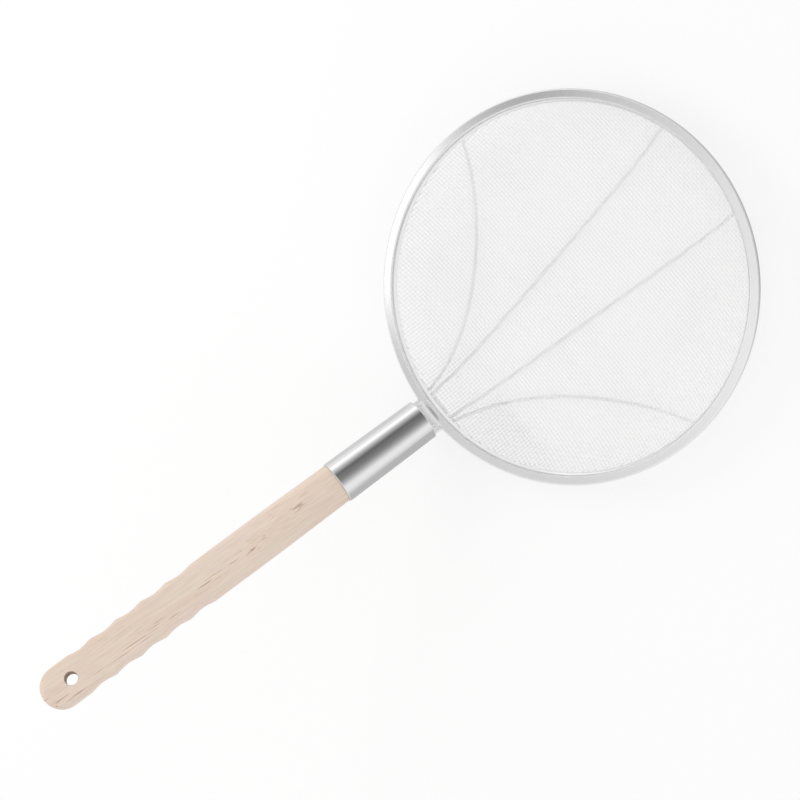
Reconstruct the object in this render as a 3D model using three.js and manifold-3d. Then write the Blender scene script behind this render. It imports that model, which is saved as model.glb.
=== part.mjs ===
// Long-handled mesh strainer: a round rim holds a shallow dish of wire mesh, four support wires fan out
// under the mesh, and a steel ferrule joins wires and neck plate to a wooden handle with finger grooves.
// Millimetres, +Z up, the rim level, +X pointing away from the handle.

import * as THREE from 'three';
import { mergeVertices } from 'three/addons/utils/BufferGeometryUtils.js';
import Module from 'manifold-3d';

const wasm = await Module();
wasm.setup();

// Clearance between pieces that touch on the real strainer.
const FIT = 0.3;

// Rim: a strip folded over a flattened core wire, its two edges pinching the mesh.
const HOOP_DIAMETER = 260;
const RIM_CORE_WIDTH = 4.4;
const RIM_CORE_HEIGHT = 2.9;
const RIM_SQUARENESS = 4.5;
const BAND_THICKNESS = 0.6;
const LIP_WIDTH = 1.1;

// Dish of mesh: flat in the middle, curving up steeply to the rim.
const DISH_DEPTH = 20;
const DISH_POWER = 6;
const STRAND = 0.8;
const GAPS_ACROSS = 19;
const HEM_WIDTH = 4;

// Support wires, as plan angles: where each meets the rim, and how it leaves the neck.
const WIRE_DIAMETER = 2.5;
const WIRE_SEAT = 50;
const INNER_RIM_ANGLE = 17.2;
const INNER_LEAVING_ANGLE = 6;
const INNER_LEAD = 120;
const OUTER_RIM_ANGLE = 85.5;
const OUTER_LEAVING_ANGLE = 11;
const OUTER_LEAD = 78;
const WIRE_END_SETBACK = 1;

// Neck plate, between the two pairs of wires.
const PLATE_WIDTH = 15.4;
const PLATE_THICKNESS = 1.5;
const PLATE_SEAT = 45;
const PLATE_TAB = 3;

// Ferrule: a tapered tube. Its mouth clears the outer wires and lies level with the middle of the rim.
const NECK_REACH = 6.4;
const FERRULE_LENGTH = 73;
const FERRULE_WALL = 0.8;
const FERRULE_TAPER = 1.1;
const MOUTH_ROOM = 0.65;
const EDGE_CHAMFER = 0.3;

// Nail that holds the ferrule, driven in from below.
const NAIL_HEAD_DIAMETER = 4.4;
const NAIL_HEAD_HEIGHT = 1.2;
const NAIL_SHANK_DIAMETER = 1.8;
const NAIL_LENGTH = 8;
const NAIL_FROM_WOOD = 12;

// Handle: round at the ferrule, flattening to a grooved grip with a half-round end.
const HANDLE_RAISE = 32;
const HANDLE_LENGTH = 240.4;
const FERRULE_STEP = 0.9;
const TENON_RECESS = 5;
const GRIP_WIDTH = 28.8;
const GRIP_THICKNESS = 18;
const END_THICKNESS = 13;
const GRIP_SQUARENESS = 5.5;
const FLATTENING_LENGTH = 110;
const GROOVES = 5;
const GROOVE_PITCH = 20.2;
const GROOVE_DEPTH = 1.35;
const GROOVE_POWER = 1.3;
const LAST_GROOVE_FROM_END = 27.5;
const HANG_HOLE_DIAMETER = 9;
const HANG_HOLE_FROM_END = 22.6;
const END_FLAT = 0.05;

// Facets, and the distance within which corners count as one.
const RIM_SEGMENTS = 64;
const BEAD_SIDES = 14;
const LIP_TURN_STEPS = 8;
const TUBE_SIDES = 8;
const WIRE_STEPS = 44;
const TURNED_SEGMENTS = 32;
const HANDLE_SIDES = 20;
const SHANK_STEPS = 8;
const GROOVE_STEPS = 6;
const END_STEPS = 8;
const HOLE_SEGMENTS = 20;
const DOME_STEPS = 2;
const WELD = 1e-3;

// Sizes that follow from the ones above.
const hoopRadius = HOOP_DIAMETER / 2;
const wireRadius = WIRE_DIAMETER / 2;
const beadOffset = FIT + BAND_THICKNESS;
const beadHalfWidth = RIM_CORE_WIDTH / 2 + beadOffset;
const beadHalfHeight = RIM_CORE_HEIGHT / 2 + beadOffset;
const beadRing = hoopRadius - beadHalfWidth;
const lipReach = beadHalfWidth + LIP_WIDTH;
const lipAngle = Math.atan2(-dishHeight(beadRing - lipReach), lipReach);
const lipLength = lipReach / Math.cos(lipAngle);
const slotHalf = STRAND / 2 + FIT;
const lipHalf = slotHalf + BAND_THICKNESS;
const lipDirection = Math.PI + lipAngle;
const hemOuter = beadRing - (beadReach(0, lipDirection) + 2 * FIT) * Math.cos(lipAngle);
const hemInner = hemOuter - HEM_WIDTH;
const meshToWire = STRAND / 2 + FIT + wireRadius;
const lipToWire = lipHalf + FIT + wireRadius;
const innerWireOffset = PLATE_WIDTH / 2 + FIT + wireRadius;
const outerWireOffset = innerWireOffset + WIRE_DIAMETER + FIT;
const mouthRadius = outerWireOffset + wireRadius + MOUTH_ROOM + FERRULE_WALL;
const ferruleRadius = mouthRadius + FERRULE_TAPER / 2;
const mouth = new THREE.Vector3(-(hoopRadius + NECK_REACH), 0, 0);
const raise = THREE.MathUtils.degToRad(HANDLE_RAISE);
const handleAxis = new THREE.Vector3(-Math.cos(raise), 0, Math.sin(raise));
const handleEnd = FERRULE_LENGTH + HANDLE_LENGTH;

// Height of the middle of the mesh at a radius, and its slope there.
function dishHeight(radius) {
  return -DISH_DEPTH * (1 - Math.min(radius / beadRing, 1) ** DISH_POWER);
}

function dishSlope(radius) {
  return (DISH_DEPTH * DISH_POWER / beadRing) * Math.min(radius / beadRing, 1) ** (DISH_POWER - 1);
}

// A geometry as one closed body: corners merged, flat triangles dropped, faces turned outwards.
function closedBody(source) {
  const bare = new THREE.BufferGeometry();
  bare.setAttribute('position', source.getAttribute('position'));
  bare.setIndex(source.index);
  const body = mergeVertices(bare, WELD);
  const position = body.getAttribute('position');
  const corner = [0, 1, 2].map(() => new THREE.Vector3());
  const triangles = [];
  let volume = 0;
  for (let i = 0; i < body.index.count; i += 3) {
    const [a, b, c] = [0, 1, 2].map((k) => body.index.getX(i + k));
    if (a !== b && b !== c && c !== a) {
      [a, b, c].forEach((vertex, k) => corner[k].fromBufferAttribute(position, vertex));
      volume += corner[0].dot(corner[1].cross(corner[2]));
      triangles.push([a, b, c]);
    }
  }
  const ordered = volume < 0 ? triangles.map(([a, b, c]) => [a, c, b]) : triangles;
  body.setIndex(ordered.flat());
  return body;
}

function toSolid(geometry) {
  const body = closedBody(geometry);
  const vertProperties = new Float32Array(body.getAttribute('position').array);
  const triVerts = new Uint32Array(body.index.array);
  return new wasm.Manifold(new wasm.Mesh({ numProp: 3, vertProperties, triVerts }));
}

function toGeometry(solid) {
  const mesh = solid.getMesh();
  const geometry = new THREE.BufferGeometry();
  geometry.setAttribute('position', new THREE.BufferAttribute(new Float32Array(mesh.vertProperties), 3));
  geometry.setIndex([...mesh.triVerts]);
  return geometry;
}

function cut(geometry, tools) {
  const solid = tools.reduce((rest, tool) => rest.subtract(toSolid(tool)), toSolid(geometry));
  return toGeometry(solid);
}

// A closed profile of [radius, height] points turned about Z.
function turned(profile, segments) {
  const points = [...profile, profile[0]].map(([radius, height]) => new THREE.Vector2(radius, height));
  return new THREE.LatheGeometry(points, segments).rotateX(Math.PI / 2);
}

// A cylinder along Z from one height to another, whose flats are no nearer than its radius.
function drill(radius, low, high, segments) {
  const reach = radius / Math.cos(Math.PI / segments);
  const bar = new THREE.CylinderGeometry(reach, reach, high - low, segments).rotateX(Math.PI / 2);
  return bar.translate(0, 0, (low + high) / 2);
}

// A bar of the given section swept along a curve.
function swept(section, curve, steps) {
  const shape = new THREE.Shape(section);
  return new THREE.ExtrudeGeometry(shape, { steps, extrudePath: curve, bevelEnabled: false });
}

function roundSection(radius, sides) {
  const angles = Array.from({ length: sides }, (_, k) => (2 * Math.PI * k) / sides);
  return angles.map((angle) => new THREE.Vector2(radius * Math.cos(angle), radius * Math.sin(angle)));
}

// Rings of the same number of points joined into a skin, with a flat cap at each end.
function lofted(rings) {
  const sides = rings[0].length;
  const points = rings.flat();
  const triangles = [];
  for (let ring = 0; ring + 1 < rings.length; ring += 1) {
    for (let side = 0; side < sides; side += 1) {
      const next = (side + 1) % sides;
      const [a, b] = [ring * sides + side, ring * sides + next];
      triangles.push([a, b, b + sides], [a, b + sides, a + sides]);
    }
  }
  const last = (rings.length - 1) * sides;
  for (let side = 1; side + 1 < sides; side += 1) {
    triangles.push([0, side + 1, side], [last, last + side, last + side + 1]);
  }
  const geometry = new THREE.BufferGeometry().setFromPoints(points);
  geometry.setIndex(triangles.flat());
  return geometry;
}

// A point of the rim's section: along the lip from the middle of the bead, and square to it, upwards.
function rimPoint(along, above) {
  const radius = beadRing - along * Math.cos(lipAngle) - above * Math.sin(lipAngle);
  return [radius, above * Math.cos(lipAngle) - along * Math.sin(lipAngle)];
}

// Reach of the rim's flattened section towards an angle, at a distance outside the core wire.
function beadReach(offset, angle) {
  const wide = Math.abs(Math.cos(angle)) / (RIM_CORE_WIDTH / 2 + offset);
  const high = Math.abs(Math.sin(angle)) / (RIM_CORE_HEIGHT / 2 + offset);
  return (wide ** RIM_SQUARENESS + high ** RIM_SQUARENESS) ** (-1 / RIM_SQUARENESS);
}

function beadPoint(offset, angle) {
  const reach = beadReach(offset, angle);
  return [beadRing + reach * Math.cos(angle), reach * Math.sin(angle)];
}

// Angle on one side of the lip at which the section lies half a gap beside the middle of the lip.
function lipTurn(offset, halfGap, side) {
  let turn = 0;
  for (let step = 0; step < LIP_TURN_STEPS; step += 1) {
    turn = Math.asin(halfGap / beadReach(offset, lipDirection + side * turn));
  }
  return lipDirection + side * turn;
}

// The section from the upper face of the lip, over the top and round to its lower face.
function beadArc(offset, halfGap) {
  const start = lipTurn(offset, halfGap, -1);
  const end = lipTurn(offset, halfGap, 1) - 2 * Math.PI;
  const angles = Array.from({ length: BEAD_SIDES + 1 }, (_, k) => start + ((end - start) * k) / BEAD_SIDES);
  return angles.map((angle) => beadPoint(offset, angle));
}

function rimBand() {
  const profile = [
    rimPoint(lipLength, lipHalf),
    ...beadArc(beadOffset, lipHalf),
    rimPoint(lipLength, -lipHalf),
    rimPoint(lipLength, -slotHalf),
    ...beadArc(FIT, slotHalf).reverse(),
    rimPoint(lipLength, slotHalf),
  ];
  return turned(profile, RIM_SEGMENTS);
}

function rimCoreWire() {
  const angles = Array.from({ length: TUBE_SIDES }, (_, k) => (2 * Math.PI * k) / TUBE_SIDES);
  return turned(angles.map((angle) => beadPoint(0, angle)), RIM_SEGMENTS);
}

// The mesh as a square net of strands on the dish, trimmed round and joined to its hem.
function meshBowl() {
  const trim = hemInner + STRAND;
  const pitch = (2 * hemInner) / GAPS_ACROSS;
  const lines = Array.from({ length: GAPS_ACROSS - 1 }, (_, k) => (k + 1 - GAPS_ACROSS / 2) * pitch);
  const edges = [-trim, ...lines.flatMap((line) => [line - STRAND / 2, line + STRAND / 2]), trim];
  const cells = edges.length - 1;
  const points = [];
  for (const side of [1, -1]) {
    for (const x of edges) {
      for (const y of edges) {
        points.push(new THREE.Vector3(x, y, dishHeight(Math.hypot(x, y)) + (side * STRAND) / 2));
      }
    }
  }
  const top = (i, j) => i * edges.length + j;
  const under = (i, j) => edges.length ** 2 + top(i, j);
  const inside = (i, j) => i >= 0 && j >= 0 && i < cells && j < cells;
  const strand = (i, j) => inside(i, j) && (i % 2 === 1 || j % 2 === 1);
  const triangles = [];
  const quad = (a, b, c, d) => triangles.push([a, b, c], [a, c, d]);
  for (let i = 0; i < cells; i += 1) {
    for (let j = 0; j < cells; j += 1) {
      if (strand(i, j)) {
        const ring = [[i, j], [i + 1, j], [i + 1, j + 1], [i, j + 1]];
        const beside = [[i, j - 1], [i + 1, j], [i, j + 1], [i - 1, j]];
        quad(...ring.map(([u, v]) => top(u, v)));
        quad(...ring.map(([u, v]) => under(u, v)).reverse());
        beside.forEach(([u, v], side) => {
          const [from, to] = [ring[side], ring[(side + 1) % 4]];
          if (!strand(u, v)) {
            quad(under(...from), under(...to), top(...to), top(...from));
          }
        });
      }
    }
  }
  const net = new THREE.BufferGeometry().setFromPoints(points);
  net.setIndex(triangles.flat());
  const disc = drill(trim, -2 * DISH_DEPTH, DISH_DEPTH, RIM_SEGMENTS);
  return toGeometry(toSolid(net).intersect(toSolid(disc)).add(toSolid(meshHem())));
}

// The edge of the mesh, which follows the dish into the slot of the rim.
function meshHem() {
  const radii = [hemInner, (hemInner + hemOuter) / 2, hemOuter];
  const face = (side) => radii.map((radius) => {
    const tilt = Math.atan(dishSlope(radius));
    const offset = (side * STRAND) / 2;
    return [radius - offset * Math.sin(tilt), dishHeight(radius) + offset * Math.cos(tilt)];
  });
  return turned([...face(1), ...face(-1).reverse()], RIM_SEGMENTS);
}

// Height of a support wire at a radius: it hugs the mesh, dips under the lip and runs level under the bead.
function wireHeight(radius) {
  const lipStart = beadRing - lipReach - lipHalf - WIRE_DIAMETER;
  const dip = THREE.MathUtils.smoothstep(radius, lipStart - 2 * WIRE_DIAMETER, lipStart);
  const below = THREE.MathUtils.lerp(meshToWire, lipToWire, dip);
  const hugging = dishHeight(radius) - below * Math.hypot(1, dishSlope(radius));
  return Math.min(hugging, -(beadHalfHeight + FIT + wireRadius));
}

// A point on the handle's axis, shifted sideways.
function onAxis(along, sideways) {
  return mouth.clone().addScaledVector(handleAxis, along).setY(sideways);
}

// Places along the handle's axis that keep a piece straight in its seat and out of the mouth.
function seatPlaces(depth) {
  return [depth, depth / 2, 2 * TENON_RECESS, TENON_RECESS, TENON_RECESS / 2];
}

// A support wire, from its seat in the handle, under the rim at the neck and fanning out to the far rim.
function supportWire(side, offset, rimAngle, leavingAngle, lead) {
  const leaving = THREE.MathUtils.degToRad(leavingAngle);
  const arriving = THREE.MathUtils.degToRad(rimAngle);
  const farRadius = beadRing - WIRE_END_SETBACK;
  const start = new THREE.Vector2(-hoopRadius, offset);
  const control = new THREE.Vector2(lead * Math.cos(leaving), lead * Math.sin(leaving)).add(start);
  const end = new THREE.Vector2(farRadius * Math.cos(arriving), farRadius * Math.sin(arriving));
  const plan = new THREE.QuadraticBezierCurve(start, control, end);
  const samples = plan.getSpacedPoints(WIRE_STEPS / 2);
  const fan = samples.map(({ x, y }) => new THREE.Vector3(x, side * y, wireHeight(Math.hypot(x, y))));
  const seat = seatPlaces(WIRE_SEAT).map((along) => onAxis(along, side * offset));
  const path = new THREE.CatmullRomCurve3([...seat, ...fan], false, 'centripetal');
  return swept(roundSection(wireRadius, TUBE_SIDES), path, WIRE_STEPS);
}

// The neck plate, from its saw cut in the handle, under the bead and bent down along the lip.
function neckPlate() {
  const level = -(beadHalfHeight + FIT + PLATE_THICKNESS / 2);
  const [tabRadius, tabHeight] = rimPoint(lipLength, -(lipHalf + FIT + PLATE_THICKNESS / 2));
  const [endRadius, endHeight] = rimPoint(lipLength + PLATE_TAB, -(lipHalf + FIT + PLATE_THICKNESS / 2));
  const path = new THREE.CatmullRomCurve3([
    ...seatPlaces(PLATE_SEAT).map((along) => onAxis(along, 0)),
    new THREE.Vector3(-hoopRadius, 0, level),
    new THREE.Vector3(-tabRadius, 0, tabHeight),
    new THREE.Vector3(-endRadius, 0, endHeight),
  ], false, 'centripetal');
  const [w, t] = [PLATE_WIDTH / 2, PLATE_THICKNESS / 2];
  const section = [[-w, -t], [w, -t], [w, t], [-w, t]].map(([x, y]) => new THREE.Vector2(x, y));
  return swept(section, path, WIRE_STEPS / 2);
}

// Inside the handle's own frame Z runs from the mouth of the ferrule to the handle's end and X is its top.
function ferruleBore(along) {
  return THREE.MathUtils.lerp(mouthRadius, ferruleRadius, along / FERRULE_LENGTH) - FERRULE_WALL;
}

const nailPlace = FERRULE_LENGTH - NAIL_FROM_WOOD;
const nailSeat = ferruleBore(nailPlace) + FERRULE_WALL + FIT;

// A bar along -X at the nail's place, for the nail's hole and to set the nail itself.
function toNail(geometry) {
  return geometry.rotateY(-Math.PI / 2).translate(0, 0, nailPlace);
}

function nailHole() {
  return toNail(drill(NAIL_SHANK_DIAMETER / 2 + FIT, nailSeat - NAIL_LENGTH - FIT, nailSeat + FIT, TUBE_SIDES));
}

function ferrule() {
  const profile = [
    [mouthRadius - EDGE_CHAMFER, 0],
    [mouthRadius, EDGE_CHAMFER],
    [ferruleRadius, FERRULE_LENGTH - EDGE_CHAMFER],
    [ferruleRadius - EDGE_CHAMFER, FERRULE_LENGTH],
    [ferruleRadius - FERRULE_WALL, FERRULE_LENGTH],
    [mouthRadius - FERRULE_WALL, 0],
  ];
  return cut(turned(profile, TURNED_SEGMENTS), [nailHole()]);
}

function ferruleNail() {
  const head = NAIL_HEAD_DIAMETER / 2;
  const shank = NAIL_SHANK_DIAMETER / 2;
  const dome = Array.from({ length: DOME_STEPS + 1 }, (_, k) => {
    const turn = (Math.PI / 2) * (k / DOME_STEPS);
    return [head * Math.cos(turn), nailSeat + NAIL_HEAD_HEIGHT * Math.sin(turn)];
  });
  const profile = [
    [0, nailSeat - NAIL_LENGTH],
    [shank, nailSeat - NAIL_LENGTH + shank],
    [shank, nailSeat],
    ...dome,
  ];
  return toNail(turned(profile, TUBE_SIDES));
}

// Section of the handle: half its thickness and half its width, round at 2 and squarer above. Flats lie
// on top, below and at both sides.
function handleRing(along, halfThickness, halfWidth, squareness) {
  const power = 2 / squareness;
  return Array.from({ length: HANDLE_SIDES }, (_, k) => {
    const angle = (2 * Math.PI * (k + 0.5)) / HANDLE_SIDES;
    const bend = (value) => Math.sign(value) * Math.abs(value) ** power;
    return new THREE.Vector3(halfThickness * bend(Math.cos(angle)), halfWidth * bend(Math.sin(angle)), along);
  });
}

// Half of the handle's width, with the finger grooves, before the end is rounded. The grooves are arcs that
// meet in tight crests.
function gripHalfWidth(along) {
  const lastValley = handleEnd - LAST_GROOVE_FROM_END - GROOVE_PITCH / 2;
  const turns = (lastValley - along) / GROOVE_PITCH;
  const grooved = turns > -0.5 && turns < GROOVES - 0.5;
  const groove = grooved ? GROOVE_DEPTH * Math.abs(Math.cos(Math.PI * turns)) ** GROOVE_POWER : 0;
  return GRIP_WIDTH / 2 - groove;
}

function handleSection(along) {
  const front = FERRULE_LENGTH + FIT;
  const frontRadius = ferruleRadius - FERRULE_STEP;
  const flat = THREE.MathUtils.smoothstep(along, front, front + FLATTENING_LENGTH);
  const thin = THREE.MathUtils.mapLinear(along, front, handleEnd, GRIP_THICKNESS, END_THICKNESS) / 2;
  const halfThickness = THREE.MathUtils.lerp(frontRadius, thin, flat);
  const halfWidth = THREE.MathUtils.lerp(frontRadius, gripHalfWidth(along), flat);
  const fromEnd = Math.min(handleEnd - along, GRIP_WIDTH / 2);
  const endHalf = Math.sqrt(fromEnd * (GRIP_WIDTH - fromEnd));
  const squareness = THREE.MathUtils.lerp(2, GRIP_SQUARENESS, flat);
  return handleRing(along, halfThickness, Math.min(halfWidth, endHalf), squareness);
}

function handle() {
  const tenonEnd = FERRULE_LENGTH - FIT;
  const front = FERRULE_LENGTH + FIT;
  const groovesEnd = handleEnd - LAST_GROOVE_FROM_END;
  const groovesStart = groovesEnd - GROOVES * GROOVE_PITCH;
  const even = (from, to, steps) => Array.from({ length: steps }, (_, k) => from + ((to - from) * k) / steps);
  const endReaches = even(0, Math.PI / 2, END_STEPS).map((turn) => Math.sin(turn));
  const stations = [
    ...even(front, groovesStart, SHANK_STEPS),
    ...even(groovesStart, groovesEnd, GROOVES * GROOVE_STEPS),
    ...endReaches.map((reach) => handleEnd - (1 - reach) * (GRIP_WIDTH / 2)),
    handleEnd - END_FLAT,
  ];
  const tenon = [TENON_RECESS, tenonEnd].map((along) => {
    const radius = ferruleBore(along) - FIT;
    return handleRing(along, radius, radius, 2);
  });
  const blank = lofted([...tenon, ...stations.map(handleSection)]);
  const holeRadius = wireRadius + FIT;
  const wireHoles = [-outerWireOffset, -innerWireOffset, innerWireOffset, outerWireOffset].map((sideways) => (
    drill(holeRadius, 0, WIRE_SEAT + FIT, TUBE_SIDES).translate(0, sideways, 0)
  ));
  const sawDepth = PLATE_SEAT + FIT;
  const sawCut = new THREE.BoxGeometry(PLATE_THICKNESS + 2 * FIT, PLATE_WIDTH + 2 * FIT, sawDepth);
  sawCut.translate(0, 0, sawDepth / 2);
  const hangHole = drill(HANG_HOLE_DIAMETER / 2, -GRIP_THICKNESS, GRIP_THICKNESS, HOLE_SEGMENTS);
  hangHole.rotateY(Math.PI / 2).translate(0, 0, handleEnd - HANG_HOLE_FROM_END);
  return cut(blank, [...wireHoles, sawCut, nailHole(), hangHole]);
}

// Finishes, and the scene graph.
const steel = { color: 0xc9cbcc, metalness: 1, roughness: 0.25 };
const bandFinish = new THREE.MeshStandardMaterial({ ...steel, color: 0xd2d3d4 });
const wireFinish = new THREE.MeshStandardMaterial({ ...steel, roughness: 0.35 });
const meshFinish = new THREE.MeshStandardMaterial({ ...steel, color: 0xd8d9da, roughness: 0.4 });
const ferruleFinish = new THREE.MeshStandardMaterial({ ...steel, roughness: 0.15 });
const woodFinish = new THREE.MeshStandardMaterial({ color: 0xdecdbe, roughness: 0.6, metalness: 0 });

function piece(name, geometry, material) {
  const mesh = new THREE.Mesh(closedBody(geometry), material);
  mesh.name = name;
  return mesh;
}

const inner = [innerWireOffset, INNER_RIM_ANGLE, INNER_LEAVING_ANGLE, INNER_LEAD];
const outer = [outerWireOffset, OUTER_RIM_ANGLE, OUTER_LEAVING_ANGLE, OUTER_LEAD];

const head = new THREE.Group();
head.add(
  piece('rim_band', rimBand(), bandFinish),
  piece('rim_core_wire', rimCoreWire(), wireFinish),
  piece('mesh_bowl', meshBowl(), meshFinish),
  piece('support_wire_outer_left', supportWire(1, ...outer), wireFinish),
  piece('support_wire_inner_left', supportWire(1, ...inner), wireFinish),
  piece('support_wire_inner_right', supportWire(-1, ...inner), wireFinish),
  piece('support_wire_outer_right', supportWire(-1, ...outer), wireFinish),
  piece('neck_plate', neckPlate(), bandFinish),
);

const grip = new THREE.Group();
grip.position.copy(mouth);
grip.rotation.y = raise - Math.PI / 2;
grip.add(
  piece('ferrule', ferrule(), ferruleFinish),
  piece('ferrule_nail', ferruleNail(), wireFinish),
  piece('handle', handle(), woodFinish),
);

// The strainer stands on its support wires: the origin is under the middle of its box, on the table.
const strainer = new THREE.Group();
strainer.add(head, grip);
strainer.updateMatrixWorld(true);
const box = new THREE.Box3().setFromObject(strainer, true);
const middle = box.getCenter(new THREE.Vector3());
strainer.position.set(-middle.x, -middle.y, -box.min.z);

export default strainer;
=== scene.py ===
"""Looks of a long-handled mesh strainer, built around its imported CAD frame.

Woven wire cloth, rolled rim, support wires, neck plate, ferrule, nail and wooden handle, each by its own
operator, and one more operator for the stage. All lengths are metres in the frame of the CAD model: +X points
away from the handle, +Y to its left and +Z up, with the origin on the table.
"""

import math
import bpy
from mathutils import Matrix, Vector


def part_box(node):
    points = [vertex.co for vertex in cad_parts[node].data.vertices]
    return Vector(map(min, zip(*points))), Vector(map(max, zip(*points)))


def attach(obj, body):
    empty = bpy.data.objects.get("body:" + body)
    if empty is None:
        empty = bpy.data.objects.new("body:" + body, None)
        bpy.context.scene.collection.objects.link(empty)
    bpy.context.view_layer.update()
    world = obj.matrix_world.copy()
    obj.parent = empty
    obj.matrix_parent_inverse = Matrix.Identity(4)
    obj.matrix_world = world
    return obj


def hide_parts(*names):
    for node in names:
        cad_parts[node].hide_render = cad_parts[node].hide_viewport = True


bl_info = {
    "name": "Mesh Strainer",
    "version": (1, 0, 0),
    "blender": (4, 5, 0),
    "location": "View3D > Sidebar > Strainer",
    "description": "Builds a woven-wire strainer with a steel ferrule and a grooved wooden handle",
    "category": "Add Mesh",
}

import bmesh
import bpy
from bpy.props import FloatProperty, FloatVectorProperty, IntProperty, PointerProperty
from mathutils import Matrix, Quaternion, Vector

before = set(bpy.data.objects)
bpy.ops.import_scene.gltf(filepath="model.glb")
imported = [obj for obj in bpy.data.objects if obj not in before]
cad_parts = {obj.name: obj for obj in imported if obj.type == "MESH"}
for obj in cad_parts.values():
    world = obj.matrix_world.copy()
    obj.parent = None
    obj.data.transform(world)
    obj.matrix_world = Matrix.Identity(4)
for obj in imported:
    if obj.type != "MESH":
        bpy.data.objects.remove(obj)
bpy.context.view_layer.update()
BODY = "root"

CORE_LOW, CORE_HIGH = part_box("rim_core_wire")
BAND_LOW, BAND_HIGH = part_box("rim_band")
HOOP_CENTRE = (CORE_LOW + CORE_HIGH) / 2
HOOP_DIAMETER = BAND_HIGH.y - BAND_LOW.y

QUARTER_TURN = math.pi / 2
FULL_TURN = 2 * math.pi

# Limits of the mesh tools, and steps of shapes and of a search that have no count among the sizes below.
WELD = 1e-6
SHARP_ANGLE = math.radians(35)
LIP_TURN_STEPS = 8
WIRE_PATH_STEPS = 3
PLATE_PATH_STEPS = 8
PLATE_CORNER_STEPS = 4
FERRULE_EDGE_STEPS = 5
NAIL_SIDES = 32
NAIL_DOME_STEPS = 8
HOLE_SIDES = 64

# Straight runs beside a rounded edge, as shares of its radius.
PLATE_EDGE_RUN = 1 / 2
FERRULE_EDGE_RUN = 1 / 3


def metres(name, description, default):
    """A size in metres."""
    return FloatProperty(name=name, description=description, default=default, unit="LENGTH", precision=5)


def degrees(name, description, value):
    """An angle, written in degrees and kept in radians."""
    return FloatProperty(name=name, description=description, default=math.radians(value), unit="ROTATION")


def number(name, description, default):
    """A plain number without a unit."""
    return FloatProperty(name=name, description=description, default=default)


def whole(name, description, default):
    """A whole number of steps, sides or copies."""
    return IntProperty(name=name, description=description, default=default)


def tint(name, description, default):
    """A linear colour."""
    return FloatVectorProperty(name=name, description=description, default=default, subtype="COLOR")


class RimSizes(bpy.types.PropertyGroup):
    """Steel strip folded over a flattened core wire, its two lips pinching the cloth."""

    hoop: metres("Hoop", "Outer diameter of the rim", HOOP_DIAMETER)
    core_width: metres("Core width", "Width of the wire inside the bead", 0.0044)
    core_height: metres("Core height", "Height of the wire inside the bead", 0.0029)
    squareness: number("Squareness", "Section of the bead: 2 is an ellipse, more is flatter", 7.5)
    fit: metres("Fit", "Clearance between pieces that touch", 0.0003)
    band: metres("Band", "Thickness of the strip", 0.0006)
    lip: metres("Lip", "Width of the lip inside the bead", 0.0011)
    slot: metres("Slot", "Height of the slot that the cloth sits in", 0.0014)
    fillet: metres("Fillet", "Bend between the bead and a lip", 0.0009)
    segments: whole("Segments", "Facets round the rim", 288)
    bead_steps: whole("Bead steps", "Facets round the bead's section", 60)
    bend_steps: whole("Bend steps", "Facets of a lip's edge and of a fillet", 6)


class ClothSizes(bpy.types.PropertyGroup):
    """Plain weave of steel wire, pressed into a flat-bottomed dish."""

    depth: metres("Depth", "Depth of the dish below the rim", 0.02)
    power: number("Power", "How late the dish curves up towards the rim", 6.0)
    wire: metres("Wire", "Diameter of a wire of the cloth", 0.0005)
    pitch: metres("Pitch", "Distance from one wire to the next", 0.00225)
    tuck: metres("Tuck", "How far the cloth's edge stays from the core wire", 0.0006)
    sides: whole("Sides", "Facets round a wire", 6)


class SupportSizes(bpy.types.PropertyGroup):
    """Four wires that fan out under the cloth."""

    wire: metres("Wire", "Diameter of a support wire", 0.0025)
    seat: metres("Seat", "Depth of a wire in the handle", 0.05)
    setback: metres("Setback", "How far a wire stops short of the bead's middle", 0.001)
    inner_rim: degrees("Inner rim angle", "Where an inner wire meets the rim", 17.2)
    inner_leaving: degrees("Inner leaving angle", "How an inner wire leaves the neck", 6)
    inner_lead: metres("Inner lead", "How long an inner wire keeps that direction", 0.12)
    outer_rim: degrees("Outer rim angle", "Where an outer wire meets the rim", 85.5)
    outer_leaving: degrees("Outer leaving angle", "How an outer wire leaves the neck", 11)
    outer_lead: metres("Outer lead", "How long an outer wire keeps that direction", 0.078)
    steps: whole("Steps", "Points along the fan of a wire", 48)
    sides: whole("Sides", "Facets round a wire", 20)


class NeckSizes(bpy.types.PropertyGroup):
    """Flat tongue between the two pairs of wires."""

    width: metres("Width", "Width of the plate", 0.0154)
    thickness: metres("Thickness", "Thickness of the plate", 0.0015)
    seat: metres("Seat", "Depth of the plate in the handle", 0.045)
    tab: metres("Tab", "Length of the end that lies along the rim's lip", 0.003)
    edge: metres("Edge", "Radius of the plate's edges", 0.0004)
    reach: metres("Reach", "Gap in plan from the rim to the ferrule's mouth", 0.0064)


class FerruleSizes(bpy.types.PropertyGroup):
    """Tapered tube over the front of the handle, and the nail that holds it."""

    length: metres("Length", "Length of the tube", 0.073)
    wall: metres("Wall", "Thickness of the tube", 0.0008)
    taper: metres("Taper", "Growth of the diameter from the mouth to the wood", 0.0011)
    room: metres("Room", "Space between the outer wires and the tube", 0.00065)
    edge: metres("Edge", "Radius of the tube's edges", 0.00035)
    nail_head: metres("Nail head", "Diameter of the nail's head", 0.0044)
    nail_crown: metres("Nail crown", "Height of the nail's head", 0.0012)
    nail_shank: metres("Nail shank", "Diameter of the nail", 0.0018)
    nail_length: metres("Nail length", "Length of the nail in the wood", 0.008)
    nail_from_wood: metres("Nail place", "Distance of the nail from the tube's end", 0.012)
    segments: whole("Segments", "Facets round the tube", 128)


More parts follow.
